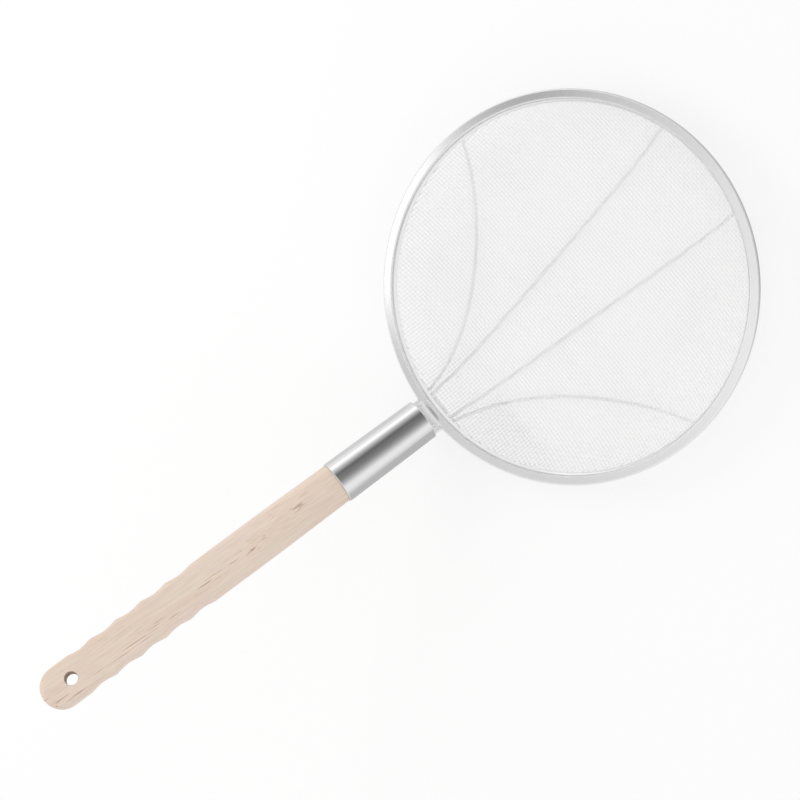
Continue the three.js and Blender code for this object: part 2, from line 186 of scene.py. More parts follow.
class HandleSizes(bpy.types.PropertyGroup):
    """Wooden handle: round at the ferrule, flatter and grooved towards a half-round end."""

    rise: degrees("Rise", "Slope of the handle above the rim's plane", 32)
    length: metres("Length", "Length of the wood beyond the ferrule", 0.2404)
    step: metres("Step", "How far the wood stands inside the ferrule's outside", 0.0009)
    recess: metres("Recess", "How far the tenon stays inside the ferrule's mouth", 0.005)
    width: metres("Width", "Width of the grip", 0.0288)
    thickness: metres("Thickness", "Thickness of the grip at the ferrule", 0.018)
    end_thickness: metres("End thickness", "Thickness at the far end", 0.013)
    squareness: number("Squareness", "Section of the grip: 2 is round, more is squarer", 5.5)
    flattening: metres("Flattening", "Length over which the round section turns flat", 0.11)
    grooves: whole("Grooves", "Finger grooves on each side", 5)
    groove_pitch: metres("Groove pitch", "Distance from one groove to the next", 0.0202)
    groove_depth: metres("Groove depth", "Depth of a groove", 0.00135)
    groove_power: number("Groove power", "Shape of a groove: 2 is a wave, less makes tighter crests", 1.3)
    last_groove: metres("Last groove", "Where the grooves end, from the handle's end", 0.0275)
    hole: metres("Hole", "Diameter of the hanging hole", 0.009)
    hole_place: metres("Hole place", "Distance of the hole from the handle's end", 0.0226)
    hole_edge: metres("Hole edge", "Chamfer of the hole", 0.0003)
    sides: whole("Sides", "Facets round the section", 96)
    groove_steps: whole("Groove steps", "Sections in a groove", 14)
    shank_steps: whole("Shank steps", "Sections between the ferrule and the grooves", 24)
    end_steps: whole("End steps", "Sections of the half-round end", 20)


class FinishColours(bpy.types.PropertyGroup):
    """Colours of the finishes, as linear values."""

    rim_steel: tint("Rim steel", "Rolled stainless strip", (0.82, 0.82, 0.82))
    warp_steel: tint("Warp steel", "Lengthwise wires of the cloth", (0.98, 0.98, 0.98))
    # Painted shade: the crosswise wires are the same steel as the lengthwise ones, a little darker, for the
    # darker crosswise lines of the cloth.
    weft_steel_shaded: tint("Weft steel", "Crosswise wires of the cloth", (0.95, 0.95, 0.95))
    wire_steel: tint("Wire steel", "Drawn support wire", (0.96, 0.96, 0.96))
    # The plate's near-white tone is partly painted light: satin steel, lifted so that the plate reads light
    # in the shade of the ferrule.
    plate_steel_lightened: tint("Plate steel", "Satin neck plate", (0.95, 0.95, 0.95))
    ferrule_steel: tint("Ferrule steel", "Polished tube", (0.78, 0.78, 0.78))
    # Painted light: the tenon's pale colour lightens the shaded mouth of the ferrule and what the neck plate
    # mirrors there.
    tenon_painted_light: tint("Filler", "Pale filler on the wood inside the ferrule", (0.85, 0.85, 0.85))
    wood_pale: tint("Pale wood", "Ground colour of the wood", (0.775, 0.64, 0.545))
    wood_yellow: tint("Yellow wood", "Cloudy patches in the ground", (0.77, 0.645, 0.53))
    wood_warm: tint("Warm wood", "Broad warmer bands", (0.74, 0.585, 0.48))
    # Painted shade: the dark wall of the hanging hole stands in for the shade inside the hole.
    wood_hole_shade: tint("Wood bore", "Scorched wall of the hanging hole", (0.42, 0.29, 0.2))
    wood_pore: tint("Wood pores", "Fine dark streaks along the grain", (0.38, 0.22, 0.125))


class StageSettings(bpy.types.PropertyGroup):
    """Floor, lamps and the camera's direction."""

    floor: tint("Floor", "Colour of the floor", (0.99, 0.99, 0.99))
    floor_glow: number("Floor glow", "Share of plain white in the floor as it is seen", 0.63)
    world_level: number("World level", "Brightness of the surrounding light", 0.86)
    key_level: number("Key level", "Brightness of the large lamp on the left", 1.9)
    fill_level: number("Fill level", "Brightness of the lamp on the right", 0.3)
    azimuth: degrees("Azimuth", "Camera's direction round the object", 62.276)
    elevation: degrees("Elevation", "Camera's height above the horizon", 65.66)
    roll: degrees("Roll", "Turn of the camera about its line of sight", -102.859)
    lens: number("Lens", "Focal length for a sensor 36 mm wide", 95.847)


GROUPS = {
    "strainer_rim": RimSizes,
    "strainer_cloth": ClothSizes,
    "strainer_support": SupportSizes,
    "strainer_neck": NeckSizes,
    "strainer_ferrule": FerruleSizes,
    "strainer_handle": HandleSizes,
    "strainer_finish": FinishColours,
    "strainer_stage": StageSettings,
}


def settings(name):
    """One property group of the scene."""
    return getattr(bpy.context.scene, "strainer_" + name)


# Node helpers.


def feed(tree, socket, value):
    """Links a socket into another, or sets a plain value."""
    if isinstance(value, bpy.types.NodeSocket):
        tree.links.new(value, socket)
    else:
        socket.default_value = value


def add_node(tree, kind, inputs=None, **options):
    """A node with its options set and its inputs fed by name or number."""
    node = tree.nodes.new(kind)
    for option, value in options.items():
        setattr(node, option, value)
    for name, value in (inputs or {}).items():
        feed(tree, node.inputs[name], value)
    return node


def node_output(tree, kind, inputs=None, which=0, **options):
    """One output of a new node, by name or number."""
    return add_node(tree, kind, inputs, **options).outputs[which]


def maths(tree, operation, *values):
    """Output of a Math node."""
    return node_output(tree, "ShaderNodeMath", dict(enumerate(values)), operation=operation)


def vectors(tree, operation, *values):
    """Vector output of a Vector Math node."""
    return node_output(tree, "ShaderNodeVectorMath", dict(enumerate(values)), "Vector", operation=operation)


def scaled(tree, vector, amount):
    """A vector or a colour times a number."""
    values = {0: vector, "Scale": amount}
    return node_output(tree, "ShaderNodeVectorMath", values, "Vector", operation="SCALE")


def xyz(tree, **parts):
    """A vector made of its parts."""
    return node_output(tree, "ShaderNodeCombineXYZ", parts)


def noise(tree, where, detail):
    """Noise with features one unit of its vector wide."""
    return node_output(tree, "ShaderNodeTexNoise", {"Vector": where, "Scale": 1.0, "Detail": detail}, "Fac")


def new_tree(name, kind, inputs, outputs):
    """An empty node group with named inputs and outputs; returns the tree and its input sockets."""
    tree = bpy.data.node_groups.new(name, kind)
    for in_out, sockets in (("INPUT", inputs), ("OUTPUT", outputs)):
        for socket_name, socket_kind in sockets.items():
            tree.interface.new_socket(socket_name, in_out=in_out, socket_type="NodeSocket" + socket_kind)
    return tree, tree.nodes.new("NodeGroupInput").outputs


def swept_tube(tree, line, diameter, sides):
    """Smooth tube of a round section along a curve."""
    section = node_output(tree, "GeometryNodeCurvePrimitiveCircle", {
        "Resolution": sides, "Radius": maths(tree, "MULTIPLY", diameter, 0.5),
    })
    tube = node_output(tree, "GeometryNodeCurveToMesh", {
        "Curve": line, "Profile Curve": section, "Fill Caps": True,
    })
    return node_output(tree, "GeometryNodeSetShadeSmooth", {0: tube})


def put_out(tree, name, geometry, material):
    """Ends a geometry tree in real geometry of one material."""
    real = node_output(tree, "GeometryNodeRealizeInstances", {"Geometry": geometry})
    finished = node_output(tree, "GeometryNodeSetMaterial", {"Geometry": real, "Material": material})
    add_node(tree, "NodeGroupOutput", {name: finished})


# Mesh helpers.


def link_piece(name, mesh):
    """A new object at the origin."""
    piece = bpy.data.objects.new(name, mesh)
    bpy.context.scene.collection.objects.link(piece)
    return piece


def finish_mesh(shape, name):
    """Welds a bmesh, turns its faces outwards and returns it as a smooth mesh with its real edges sharp."""
    bmesh.ops.remove_doubles(shape, verts=shape.verts, dist=WELD)
    bmesh.ops.dissolve_degenerate(shape, edges=shape.edges, dist=WELD)
    bmesh.ops.recalc_face_normals(shape, faces=shape.faces)
    mesh = bpy.data.meshes.new(name)
    shape.to_mesh(mesh)
    shape.free()
    shade(mesh)
    return mesh


def shade(mesh):
    """Smooth shading with the real edges sharp."""
    mesh.shade_smooth()
    mesh.set_sharp_from_angle(angle=SHARP_ANGLE)


def skinned(name, rings, joined=False, caps=(True, True)):
    """Skins rings of equally many points: joined end to end, or with a cap where one is asked for."""
    shape = bmesh.new()
    corners = [[shape.verts.new(point) for point in ring] for ring in rings]
    pairs = list(zip(corners, corners[1:]))
    if joined:
        pairs.append((corners[-1], corners[0]))
    for ring, following in pairs:
        for place in range(len(ring)):
            shape.faces.new((ring[place - 1], ring[place], following[place], following[place - 1]))
    if not joined:
        for ring, capped in ((corners[0], caps[0]), (corners[-1], caps[1])):
            if capped:
                shape.faces.new(ring)
    return finish_mesh(shape, name)


def turned(profile, segments, place):
    """Rings of a closed profile of (radius, height) points turned about the Z axis of a place."""
    rings = []
    for step in range(segments):
        turn = FULL_TURN * step / segments
        rings.append([place @ Vector((r * math.cos(turn), r * math.sin(turn), z)) for r, z in profile])
    return rings


def arc(radius, start, end, steps, centre=(0.0, 0.0)):
    """Points of an arc in a section, both ends included."""
    turns = [start + (end - start) * step / steps for step in range(steps + 1)]
    return [(centre[0] + radius * math.cos(turn), centre[1] + radius * math.sin(turn)) for turn in turns]


def circle(radius, sides):
    """Points of a full circle."""
    return arc(radius, 0, FULL_TURN, sides)[:-1]


def held_ends(points, reach):
    """An arc with a short straight run at both ends, which keeps the shading of its flat neighbours flat."""
    held = []
    for end, near, far in (points[:3], points[:-4:-1]):
        # The arc's own direction at its end, from its last two steps.
        leaving = 3 * (Vector(end) - Vector(near)) - (Vector(near) - Vector(far))
        held.append(tuple(Vector(end) + leaving.normalized() * reach))
    return [held[0], *points, held[1]]


def smooth_path(points, steps):
    """A centripetal Catmull-Rom curve through the points, with that many steps between two of them."""
    ends = [2 * points[0] - points[1], *points, 2 * points[-1] - points[-2]]
    path = []
    for before, start, end, after in zip(ends, ends[1:], ends[2:], ends[3:]):
        knots = [0.0]
        for a, b in ((before, start), (start, end), (end, after)):
            knots.append(knots[-1] + math.sqrt((b - a).length))
        for step in range(steps):
            at = knots[1] + (knots[2] - knots[1]) * step / steps

            def between(a, b, low, high):
                return a.lerp(b, (at - knots[low]) / (knots[high] - knots[low]))

            first = between(before, start, 0, 1)
            middle = between(start, end, 1, 2)
            last = between(end, after, 2, 3)
            path.append(between(between(first, middle, 0, 2), between(middle, last, 1, 3), 1, 2))
    path.append(points[-1])
    return path


def lerp(low, high, at):
    """Value between two others."""
    return low + (high - low) * at


def smoothstep(at, low, high):
    """Soft step from 0 to 1 between two places."""
    x = min(max((at - low) / (high - low), 0), 1)
    return x * x * (3 - 2 * x)


def even(start, end, steps):
    """Evenly spaced places, without the last."""
    return [start + (end - start) * step / steps for step in range(steps)]


def made_by_nodes(piece, tree, values):
    """Runs a geometry node tree on an object, keeps the result as a plain mesh and drops the modifier."""
    modifier = piece.modifiers.new(tree.name, "NODES")
    modifier.node_group = tree
    for item in tree.interface.items_tree:
        if item.item_type == "SOCKET" and item.in_out == "INPUT" and item.name in values:
            modifier[item.identifier] = values[item.name]
    return keep_result(piece)


def keep_result(piece):
    """Turns an object's modifiers into its plain mesh."""
    depsgraph = bpy.context.evaluated_depsgraph_get()
    mesh = bpy.data.meshes.new_from_object(piece.evaluated_get(depsgraph), depsgraph=depsgraph)
    mesh.name = piece.name
    piece.modifiers.clear()
    piece.data = mesh
    return piece


def settle(piece, slot, *nodes):
    """Puts a finished piece on the frame's one body, in place of its CAD nodes."""
    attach(piece, BODY)
    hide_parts(*nodes)


def add_piece(name, mesh, material, slot, node):
    """A finished piece of one material, in place of a CAD node."""
    mesh.materials.append(material)
    settle(link_piece(name, mesh), slot, node)


# Shapes shared by several pieces.


def rim_section():
    """Sizes of the rim's section: the bead's ring and half height, and the lip's reach, slope and end."""
    rim = settings("rim")
    around = rim.fit + rim.band
    half_width = rim.core_width / 2 + around
    ring = rim.hoop / 2 - half_width
    reach = half_width + rim.lip
    slope = math.atan2(-dish_height(ring - reach, ring), reach)
    return {
        "around": around,
        "half_height": rim.core_height / 2 + around,
        "ring": ring,
        "reach": reach,
        "slope": slope,
        "lip_end": reach / math.cos(slope),
        "lip_half": rim.slot / 2 + rim.band,
    }


def bead_reach(around, angle):
    """Reach of the flattened bead from its middle towards an angle, at a distance outside the core wire."""
    rim = settings("rim")
    wide = abs(math.cos(angle)) / (rim.core_width / 2 + around)
    high = abs(math.sin(angle)) / (rim.core_height / 2 + around)
    return (wide ** rim.squareness + high ** rim.squareness) ** (-1 / rim.squareness)


def rim_point(section, along, above):
    """(radius, height) of a point along the lip from the bead's middle, and square to it, upwards."""
    slope = section["slope"]
    radius = section["ring"] - along * math.cos(slope) - above * math.sin(slope)
    return radius, above * math.cos(slope) - along * math.sin(slope)


def dish_height(radius, ring):
    """Height of the cloth's middle below the rim."""
    cloth = settings("cloth")
    return -cloth.depth * (1 - min(radius / ring, 1) ** cloth.power)


def dish_slope(radius, ring):
    """Slope of the cloth at a radius."""
    cloth = settings("cloth")
    return cloth.depth * cloth.power / ring * min(radius / ring, 1) ** (cloth.power - 1)


def wire_offsets():
    """Sideways places of the inner and the outer wires at the neck."""
    fit = settings("rim").fit
    wire = settings("support").wire
    inner = settings("neck").width / 2 + fit + wire / 2
    return inner, inner + wire + fit


def tube_radius(along):
    """Outer radius of the ferrule at a place along it."""
    ferrule = settings("ferrule")
    mouth = wire_offsets()[1] + settings("support").wire / 2 + ferrule.room + ferrule.wall
    return mouth + ferrule.taper / 2 * along / ferrule.length


def grip_place():
    """Frame of the handle: Z from the ferrule's mouth to the handle's end, X its top and Y its left."""
    rise = settings("handle").rise
    mouth = HOOP_CENTRE - Vector((settings("rim").hoop / 2 + settings("neck").reach, 0, 0))
    turn = Matrix((
        (math.sin(rise), 0, -math.cos(rise)),
        (0, 1, 0),
        (math.cos(rise), 0, math.sin(rise)),
    ))
    return Matrix.Translation(mouth) @ turn.to_4x4()


def seat_points(depth, sideways):
    """Points along the handle's axis that keep a piece straight in its seat and out of the mouth."""
    recess = settings("handle").recess
    place = grip_place()
    places = (depth, depth / 2, 2 * recess, recess, recess / 2)
    return [place @ Vector((0, sideways, along)) for along in places]


# Finishes. A steel has the property of its colour, its roughness, the strength of its drawing marks in that
# roughness, the marks per metre along three axes, and their depth. Smudges are much broader than the marks.

STEELS = {
    "rolled_steel": ("rim_steel", 0.2, 0.08, (700, 700, 700), 2e-6),
    # The satin plate's tone is lifted above the rim's steel as painted light.
    "satin_steel": ("plate_steel_lightened", 0.45, 0.1, (200, 1500, 1500), 2e-6),
    "warp_wire": ("warp_steel", 0.3, 0.1, (900, 900, 900), 2e-6),
    "weft_wire_shaded": ("weft_steel_shaded", 0.3, 0.1, (900, 900, 900), 2e-6),
    "drawn_steel": ("wire_steel", 0.45, 0.12, (250, 1200, 1200), 4e-6),
    "polished_steel": ("ferrule_steel", 0.12, 0.05, (1500, 1500, 30), 1.5e-6),
}
MARK_DETAIL = 4.0
MARK_BUMP = 0.4
SMUDGE_DETAIL = 3.0
SMUDGE_SCALE = 0.02
SMUDGE_ROUGHNESS = 0.25
SMUDGE_SHADE = 0.12

# A noise of the wood has its features per metre across and along the handle, its detail and its lean. Levels
# are those between which a noise turns into a mask.

BAND_NOISE = (150, 9, 3.0, 0.05)
BAND_LEVELS = (0.35, 0.68)
BAND_SHARE = 0.8
CLOUD_NOISE = (75, 45, 2.0, 0.0)
CLOUD_LEVELS = (0.38, 0.62)
FIBRE_NOISE = (1000, 55, 3.0, 0.04)
FIBRE_SHADE = (0.3, 0.86)
FIBRE_ROUGHNESS = (0.2, 0.48)
PORE_NOISE = (950, 50, 2.0, 0.04)
PORE_LEVELS = (0.58, 0.7)
PORE_SHARE = 0.75
CLUSTER_NOISE = (90, 22, 1.0, 0.05)
CLUSTER_LEVELS = (0.56, 0.72)
WOOD_BUMP = (0.5, 0.00012)

# The vein in which most pores lie: its lean, its place at the ferrule's mouth, the distances from it at which
# it begins and is full, and how much it adds to the noise of the clusters.

VEIN_LINE = (-0.05, 0.006)
VEIN_REACH = (0.011, 0.001)
VEIN_WEIGHT = 0.16


def opaque(tone):
    """A colour with full alpha."""
    return (*tone, 1.0)


def new_material(name):
    """A material with nothing but its Principled shader; returns both and the node tree."""
    material = bpy.data.materials.new(name)
    material.use_nodes = True
    tree = material.node_tree
    return material, tree, tree.nodes["Principled BSDF"]


def local_place(tree, place):
    """Object coordinates along the axes of a place."""
    return node_output(tree, "ShaderNodeMapping", {
        "Vector": node_output(tree, "ShaderNodeTexCoord", which="Object"),
        "Location": place.to_translation(),
        "Rotation": place.to_euler(),
    }, vector_type="TEXTURE")


def dress(tree, shader, colour, roughness, height, strength, depth):
    """Feeds a shader its colour, its roughness and its bump."""
    bump = node_output(tree, "ShaderNodeBump", {"Height": height, "Strength": strength, "Distance": depth})
    for socket, value in (("Base Color", colour), ("Roughness", roughness), ("Normal", bump)):
        feed(tree, shader.inputs[socket], value)


def steel_group():
    """Shader group for drawn and rolled steel: fine drawing marks and broad, faint smudges."""
    name = "Steel Surface"
    if name in bpy.data.node_groups:
        return bpy.data.node_groups[name]
    inputs = {"Vector": "Vector", "Colour": "Color", "Roughness": "Float", "Marks": "Float"}
    outputs = {"Colour": "Color", "Roughness": "Float", "Height": "Float"}
    tree, given = new_tree(name, "ShaderNodeTree", inputs, outputs)
    marks = noise(tree, given["Vector"], MARK_DETAIL)
    smudges = noise(tree, scaled(tree, given["Vector"], SMUDGE_SCALE), SMUDGE_DETAIL)
    fine = maths(tree, "SUBTRACT", marks, 0.5)
    soft = maths(tree, "SUBTRACT", smudges, 0.5)
    uneven = maths(tree, "MULTIPLY_ADD", soft, SMUDGE_ROUGHNESS, fine)
    lighter = maths(tree, "MULTIPLY_ADD", soft, SMUDGE_SHADE, 1.0)
    add_node(tree, "NodeGroupOutput", {
        "Colour": scaled(tree, given["Colour"], lighter),
        "Roughness": maths(tree, "MULTIPLY_ADD", uneven, given["Marks"], given["Roughness"]),
        "Height": marks,
    })
    return tree


def steel_finish(name, place=None):
    """One of the steels, with its drawing marks along the axes of a place."""
    if name in bpy.data.materials:
        return bpy.data.materials[name]
    tone, roughness, marks, scale, depth = STEELS[name]
    material, tree, shader = new_material(name)
    local = local_place(tree, place or Matrix.Identity(4))
    surface = add_node(tree, "ShaderNodeGroup", {
        "Vector": node_output(tree, "ShaderNodeMapping", {"Vector": local, "Scale": scale}),
        "Colour": opaque(getattr(settings("finish"), tone)),
        "Roughness": roughness,
        "Marks": marks,
    }, node_tree=steel_group()).outputs
    shader.inputs["Metallic"].default_value = 1.0
    dress(tree, shader, surface["Colour"], surface["Roughness"], surface["Height"], MARK_BUMP, depth)
    return material


def wood_finish():
    """Pale wood: broad warm bands, cloudy patches, fine fibres and clusters of short dark pores, painted
    shade on the wall of the hanging hole and painted light on the tenon inside the ferrule.
    """
    tones = settings("finish")
    handle = settings("handle")
    tube_length = settings("ferrule").length
    material, tree, shader = new_material("streaked_wood")
    local = local_place(tree, grip_place())

    def grain(across, along, detail, lean):
        """Noise stretched along the handle, leaning a little across it."""
        leaning = node_output(tree, "ShaderNodeMapping", {"Vector": local, "Rotation": (lean, 0.0, 0.0)})
        scale = (across, across, along)
        stretched = node_output(tree, "ShaderNodeMapping", {"Vector": leaning, "Scale": scale})
        return noise(tree, stretched, detail)

    def mask(value, low, high):
        """Soft mask between two levels."""
        levels = {"Value": value, "From Min": low, "From Max": high}
        return node_output(tree, "ShaderNodeMapRange", levels, "Result", interpolation_type="SMOOTHSTEP")

    def blended(amount, a, b):
        """Colour between two others."""
        colours = {"Factor": amount, "A": a, "B": b}
        return node_output(tree, "ShaderNodeMix", colours, "Result", data_type="RGBA")

    places = add_node(tree, "ShaderNodeSeparateXYZ", {0: local}).outputs
    bands = mask(grain(*BAND_NOISE), *BAND_LEVELS)
    clouds = mask(grain(*CLOUD_NOISE), *CLOUD_LEVELS)
    fibres = grain(*FIBRE_NOISE)
    pores = mask(grain(*PORE_NOISE), *PORE_LEVELS)
    vein_middle = maths(tree, "MULTIPLY_ADD", places["Z"], *VEIN_LINE)
    from_vein = maths(tree, "ABSOLUTE", maths(tree, "SUBTRACT", places["Y"], vein_middle))
    vein = mask(from_vein, *VEIN_REACH)
    gathered = maths(tree, "MULTIPLY_ADD", vein, VEIN_WEIGHT, grain(*CLUSTER_NOISE))
    dashes = maths(tree, "MULTIPLY", pores, mask(gathered, *CLUSTER_LEVELS))

    cloudy = blended(clouds, opaque(tones.wood_pale), opaque(tones.wood_yellow))
    banded = blended(maths(tree, "MULTIPLY", bands, BAND_SHARE), cloudy, opaque(tones.wood_warm))
    fibrous = scaled(tree, banded, maths(tree, "MULTIPLY_ADD", fibres, *FIBRE_SHADE))
    streaked = blended(maths(tree, "MULTIPLY", dashes, PORE_SHARE), fibrous, opaque(tones.wood_pore))
    # Painted shade: the wall of the hanging hole and its chamfer are darkened, where the hole's own shade
    # falls.
    hole = tube_length + handle.length - handle.hole_place
    from_hole = maths(tree, "POWER", maths(tree, "SUBTRACT", places["Z"], hole), 2.0)
    from_hole = maths(tree, "SQRT", maths(tree, "MULTIPLY_ADD", places["Y"], places["Y"], from_hole))
    hole_shade_mask = maths(tree, "LESS_THAN", from_hole, handle.hole / 2 + handle.hole_edge / 2)
    drilled = blended(hole_shade_mask, streaked, opaque(tones.wood_hole_shade))
    # Painted light: a pale colour on the tenon inside the ferrule, to lighten the shaded mouth.
    painted_light_inside_ferrule = maths(tree, "LESS_THAN", places["Z"], tube_length)
    colour = blended(painted_light_inside_ferrule, drilled, opaque(tones.tenon_painted_light))

    roughness = maths(tree, "MULTIPLY_ADD", fibres, *FIBRE_ROUGHNESS)
    dress(tree, shader, colour, roughness, maths(tree, "SUBTRACT", fibres, dashes), *WOOD_BUMP)
    return material


# Pieces.


class STRAINER_OT_rim(bpy.types.Operator):
    """Roll the steel strip over its core wire, with two lips that pinch the cloth"""

    bl_idname = "strainer.rim"
    bl_label = "Rim"

    def execute(self, context):
        name = "rim_band_rolled"
        rings = turned(self.profile(), settings("rim").segments, Matrix.Translation(HOOP_CENTRE))
        mesh = skinned(name, rings, joined=True)
        add_piece(name, mesh, steel_finish("rolled_steel"), "rim_steel", "rim_band")
        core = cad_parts["rim_core_wire"]
        core.data.materials.clear()
        core.data.materials.append(steel_finish("drawn_steel"))
        return {"FINISHED"}

    def profile(self):
        """Outline of the folded strip: a round edge, its outside, the other edge and its inside."""
        rim = settings("rim")
        section = rim_section()
        half = rim.band / 2
        lip_end = section["lip_end"] - half
        lip_middle = rim.slot / 2 + half
        edges = []
        for middle in (lip_middle, -lip_middle):
            edge = arc(half, -QUARTER_TURN, QUARTER_TURN, rim.bend_steps, (lip_end, middle))
            edges.append([rim_point(section, along, above) for along, above in edge])
        outside = self.fold(section["around"], section["lip_half"], rim.fillet)
        inside = self.fold(rim.fit, rim.slot / 2, rim.fillet)
        return edges[0] + outside + edges[1] + inside[::-1]

    def fold(self, around, half, bend):
        """One face of the strip: from the upper lip through a bend, over the bead and to the lower lip."""
        section = rim_section()
        rim = settings("rim")
        corners = [self.lip_turn(around, half, side) for side in (-1, 1)]
        short = [bend / bead_reach(around, turn) for turn in corners]
        start = corners[0] - short[0]
        end = corners[1] + short[1] - FULL_TURN
        turns = [lerp(start, end, step / rim.bead_steps) for step in range(rim.bead_steps + 1)]
        bead = [self.bead_point(around, turn) for turn in turns]
        lip = Vector((-math.cos(section["slope"]), -math.sin(section["slope"]))) * bend
        bends = []
        for turn, near in zip(corners, (bead[0], bead[-1])):
            corner = self.bead_point(around, turn)
            steps = [step / rim.bend_steps for step in range(rim.bend_steps)]
            bends.append([(corner + lip).lerp(corner, at).lerp(corner.lerp(near, at), at) for at in steps])
        return [tuple(point) for point in bends[0] + bead + bends[1][::-1]]

    def bead_point(self, around, angle):
        """(radius, height) of a point of the bead's section."""
        reach = bead_reach(around, angle)
        return Vector((rim_section()["ring"] + reach * math.cos(angle), reach * math.sin(angle)))

    def lip_turn(self, around, half, side):
        """Angle on one side of the lip at which the bead lies half a gap beside the lip's middle."""
        lip = math.pi + rim_section()["slope"]
        turn = 0.0
        for _ in range(LIP_TURN_STEPS):
            turn = math.asin(half / bead_reach(around, lip + side * turn))
        return lip + side * turn


def cloth_tree():
    """Geometry nodes for one half of the wires that run one way in the cloth."""
    inputs = {
        "Pitch": "Float", "Wire": "Float", "Sides": "Int", "Reach": "Float", "Dish Radius": "Float",
        "Dish Depth": "Float", "Dish Power": "Float", "Side": "Float", "Turn": "Vector", "Centre": "Vector",
        "Material": "Material",
    }
    tree, given = new_tree("Woven Cloth", "GeometryNodeTree", inputs, {"Cloth": "Geometry"})
    pitch = given["Pitch"]
    wires = maths(tree, "CEIL", maths(tree, "DIVIDE", given["Reach"], pitch))

    # A wire has two points at each crossing, a quarter of the pitch before and after it.
    first_place = maths(tree, "MULTIPLY", maths(tree, "SUBTRACT", 0.25, wires), pitch)
    points = node_output(tree, "GeometryNodeMeshLine", {
        "Count": maths(tree, "MULTIPLY", wires, 4.0),
        "Start Location": xyz(tree, X=first_place),
        "Offset": xyz(tree, X=maths(tree, "MULTIPLY", pitch, 0.5)),
    })
    one_wire = node_output(tree, "GeometryNodeMeshToCurve", {"Mesh": points})
    sideways = maths(tree, "MULTIPLY", pitch, given["Side"])
    rows = node_output(tree, "GeometryNodeMeshLine", {
        "Count": wires,
        "Start Location": xyz(tree, Y=maths(tree, "MULTIPLY", sideways, 0.5)),
        "Offset": xyz(tree, Y=sideways),
    })
    copies = node_output(tree, "GeometryNodeInstanceOnPoints", {"Points": rows, "Instance": one_wire})
    flat = node_output(tree, "GeometryNodeRealizeInstances", {"Geometry": copies})

    position = node_output(tree, "GeometryNodeInputPosition")
    parts = add_node(tree, "ShaderNodeSeparateXYZ", {0: position}).outputs
    from_middle = node_output(tree, "ShaderNodeVectorMath", {0: position}, "Value", operation="LENGTH")
    trimmed = node_output(tree, "GeometryNodeDeleteGeometry", {
        "Geometry": flat, "Selection": maths(tree, "GREATER_THAN", from_middle, given["Reach"]),
    }, domain="POINT")

    # Height and normal of the dish.
    share = maths(tree, "DIVIDE", from_middle, given["Dish Radius"])
    rise = maths(tree, "POWER", share, given["Dish Power"])
    height = maths(tree, "MULTIPLY", maths(tree, "SUBTRACT", rise, 1.0), given["Dish Depth"])
    steepness = maths(tree, "DIVIDE", maths(tree, "MULTIPLY", rise, given["Dish Power"]), from_middle)
    slope = maths(tree, "MULTIPLY", steepness, given["Dish Depth"])
    inward = maths(tree, "MULTIPLY", maths(tree, "DIVIDE", slope, from_middle), -1.0)
    leaning = vectors(tree, "ADD", scaled(tree, position, inward), (0.0, 0.0, 1.0))
    normal = vectors(tree, "NORMALIZE", leaning)

    # Wires pass over and under each other by turns.
    column = maths(tree, "FLOOR", maths(tree, "DIVIDE", parts["X"], pitch))
    row = maths(tree, "FLOOR", maths(tree, "DIVIDE", parts["Y"], pitch))
    under = maths(tree, "FLOORED_MODULO", maths(tree, "ADD", column, row), 2.0)
    lift = maths(tree, "MULTIPLY", maths(tree, "SUBTRACT", 0.5, under), given["Wire"])
    woven = node_output(tree, "GeometryNodeSetPosition", {
        "Geometry": trimmed,
        "Offset": vectors(tree, "ADD", xyz(tree, Z=height), scaled(tree, normal, lift)),
    })

    placed = node_output(tree, "GeometryNodeTransform", {
        "Geometry": swept_tube(tree, woven, given["Wire"], given["Sides"]),
        "Translation": given["Centre"],
        "Rotation": given["Turn"],
    })
    put_out(tree, "Cloth", placed, given["Material"])
    return tree


class STRAINER_OT_cloth(bpy.types.Operator):
    """Weave the wire cloth and press it into its dish"""

    bl_idname = "strainer.cloth"
    bl_label = "Woven cloth"

    def execute(self, context):
        cloth = settings("cloth")
        section = rim_section()
        from_core = bead_reach(0, math.pi + section["slope"]) + cloth.tuck
        sizes = {
            "Pitch": cloth.pitch,
            "Wire": cloth.wire,
            "Sides": cloth.sides,
            "Reach": section["ring"] - from_core * math.cos(section["slope"]),
            "Dish Radius": section["ring"],
            "Dish Depth": cloth.depth,
            "Dish Power": cloth.power,
            "Centre": HOOP_CENTRE,
        }
        tree = cloth_tree()
        warp = {"Turn": (0.0, 0.0, 0.0), "Material": steel_finish("warp_wire")}
        # The crosswise wires get the darker copy of the cloth's steel: painted shade.
        weft = {"Turn": (0.0, 0.0, QUARTER_TURN), "Material": steel_finish("weft_wire_shaded")}
        halves = (
            ("mesh_lengthwise_left", 1.0, warp),
            ("mesh_lengthwise_right", -1.0, warp),
            ("mesh_crosswise_near", 1.0, weft),
            ("mesh_crosswise_far", -1.0, weft),
        )
        for name, side, way in halves:
            piece = link_piece(name, bpy.data.meshes.new(name))
            made_by_nodes(piece, tree, {**sizes, **way, "Side": side})
            settle(piece, "mesh_steel", "mesh_bowl")
        return {"FINISHED"}


def swept_tree():
    """Geometry nodes that sweep a round section along a line of points."""
    inputs = {"Line": "Geometry", "Diameter": "Float", "Sides": "Int", "Material": "Material"}
    tree, given = new_tree("Swept Wire", "GeometryNodeTree", inputs, {"Wire": "Geometry"})
    line = node_output(tree, "GeometryNodeMeshToCurve", {"Mesh": given["Line"]})
    put_out(tree, "Wire", swept_tube(tree, line, given["Diameter"], given["Sides"]), given["Material"])
    return tree


